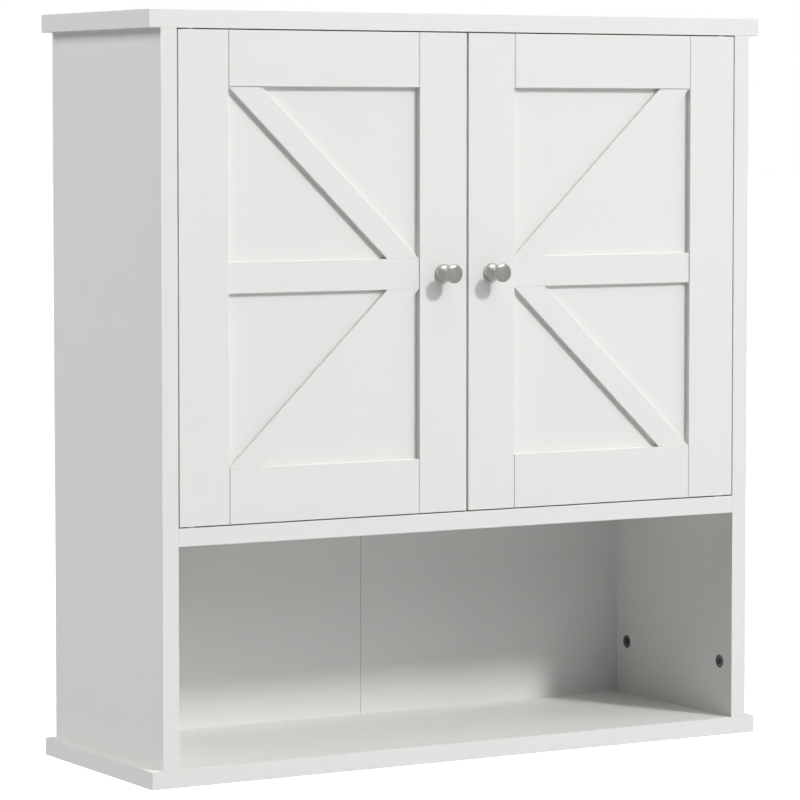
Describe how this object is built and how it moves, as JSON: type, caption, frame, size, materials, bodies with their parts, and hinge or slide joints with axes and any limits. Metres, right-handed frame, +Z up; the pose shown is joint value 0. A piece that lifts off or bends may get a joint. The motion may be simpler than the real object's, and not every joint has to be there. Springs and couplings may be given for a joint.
{
  "type": "hanging wall cabinet",
  "caption": "Wall-hung storage cabinet with an open cubby below and a cupboard above, shut by two inset framed doors with slanting braces and turned knobs.",
  "frame": {"origin": "midway between the two wall-screw holes, on the plane of the wall", "axes": "+Z up, +Y towards the wall, +X to the right as seen from the front; the doors face -Y"},
  "size_m": [0.6, 0.2269, 0.635],
  "materials": {
    "painted_board": "satin white paint on fibreboard",
    "door_paint": "satin white paint on solid members",
    "back_board": "white-faced thin fibreboard",
    "zinc": "dull die-cast zinc",
    "plated_steel": "bright zinc plate",
    "nickel": "satin nickel",
    "beech": "raw beech dowel",
    "moulding": "white moulded plastic",
    "magnet": "dark ferrite"
  },
  "bodies": {
    "cabinet": {"adjustable_shelf": "painted_board", "back_joint_strip": "moulding", "back_panel_left": "back_board", "back_panel_right": "back_board", "bottom_panel": "painted_board", "cam_bolts_bottom": "plated_steel", "cam_bolts_shelf": "plated_steel", "cam_bolts_top": "plated_steel", "cam_locks_left": "zinc", "cam_locks_right": "zinc", "cam_locks_shelf": "zinc", "catch_housing": "moulding", "catch_magnets": "magnet", "catch_screw": "plated_steel", "dowels_panels": "beech", "dowels_rail": "beech", "dowels_shelf": "beech", "hanging_rail": "painted_board", "left_bottom_pivot_socket": "plated_steel", "left_side_panel": "painted_board", "left_top_pivot_socket": "plated_steel", "middle_shelf": "painted_board", "pivot_socket_screws": "plated_steel", "right_bottom_pivot_socket": "plated_steel", "right_side_panel": "painted_board", "right_top_pivot_socket": "plated_steel", "shelf_pin_left_1": "plated_steel", "shelf_pin_left_2": "plated_steel", "shelf_pin_right_1": "plated_steel", "shelf_pin_right_2": "plated_steel", "top_panel": "painted_board"},
    "left_door": {"left_door_bottom_pivot_plate": "plated_steel", "left_door_bottom_rail": "door_paint", "left_door_inner_stile": "door_paint", "left_door_knob": "nickel", "left_door_knob_screw": "plated_steel", "left_door_lower_brace": "door_paint", "left_door_middle_bar": "door_paint", "left_door_outer_stile": "door_paint", "left_door_panel": "door_paint", "left_door_pivot_screws": "plated_steel", "left_door_strike_plate": "plated_steel", "left_door_top_pivot_plate": "plated_steel", "left_door_top_rail": "door_paint", "left_door_upper_brace": "door_paint"},
    "right_door": {"right_door_bottom_pivot_plate": "plated_steel", "right_door_bottom_rail": "door_paint", "right_door_inner_stile": "door_paint", "right_door_knob": "nickel", "right_door_knob_screw": "plated_steel", "right_door_lower_brace": "door_paint", "right_door_middle_bar": "door_paint", "right_door_outer_stile": "door_paint", "right_door_panel": "door_paint", "right_door_pivot_screws": "plated_steel", "right_door_strike_plate": "plated_steel", "right_door_top_pivot_plate": "plated_steel", "right_door_top_rail": "door_paint", "right_door_upper_brace": "door_paint"}
  },
  "joints": [
    {"name": "left_door_pivot", "type": "hinge", "parent": "cabinet", "child": "left_door", "pos_m": [-0.262, -0.2, -0.1735], "axis": [0, 0, -1], "range_deg": [0, 130]},
    {"name": "right_door_pivot", "type": "hinge", "parent": "cabinet", "child": "right_door", "pos_m": [0.262, -0.2, -0.1735], "axis": [0, 0, 1], "range_deg": [0, 130]}
  ]
}
